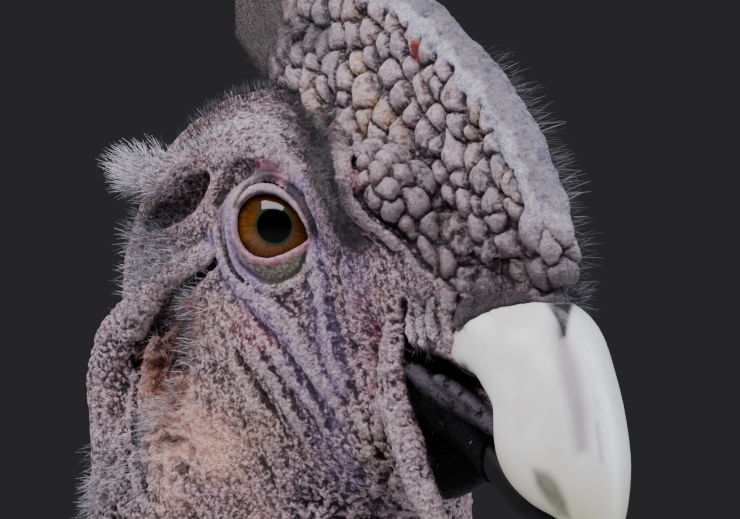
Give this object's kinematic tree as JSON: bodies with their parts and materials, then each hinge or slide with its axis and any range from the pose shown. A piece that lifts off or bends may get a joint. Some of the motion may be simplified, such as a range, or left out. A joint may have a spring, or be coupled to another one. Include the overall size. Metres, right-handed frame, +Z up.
{
  "type": "andean condor",
  "caption": "Standing male condor at life size: lumpy comb, hooked ivory bill, bare wrinkled head and neck, white ruff, folded wings, tail and clawed feet flat on the floor.",
  "frame": {"origin": "centre of the bounding box on the floor, under the body", "axes": "+Z up, the bird faces -Y, its left side is +X"},
  "size_m": [0.3158, 0.7338, 0.9401],
  "materials": {
    "bare_skin": "wrinkled bare skin, satin",
    "comb_skin": "lumpy fleshy comb, satin",
    "cere_skin": "dark wrinkled skin, satin",
    "ivory_horn": "polished ivory horn",
    "dark_horn": "dark horn, satin",
    "eye": "wet eyeball",
    "white_down": "soft white down",
    "black_feather": "glossy black feathers",
    "silver_feather": "black feathers with a silver-white panel",
    "leg_skin": "scaly grey leg skin",
    "claw": "dark horn"
  },
  "bodies": {
    "root": {"head": "bare_skin", "comb": "comb_skin", "cere": "cere_skin", "bill_upper": "ivory_horn", "bill_lower": "dark_horn", "eye_left": "eye", "eye_right": "eye", "neck": "bare_skin", "ruff": "white_down", "torso": "black_feather", "tail": "black_feather", "wing_left": "silver_feather", "thigh_left": "black_feather", "shank_left": "leg_skin", "foot_left": "leg_skin", "claw_inner_left": "claw", "claw_middle_left": "claw", "claw_outer_left": "claw", "claw_hind_left": "claw", "wing_right": "silver_feather", "thigh_right": "black_feather", "shank_right": "leg_skin", "foot_right": "leg_skin", "claw_inner_right": "claw", "claw_middle_right": "claw", "claw_outer_right": "claw", "claw_hind_right": "claw"}
  },
  "joints": []
}
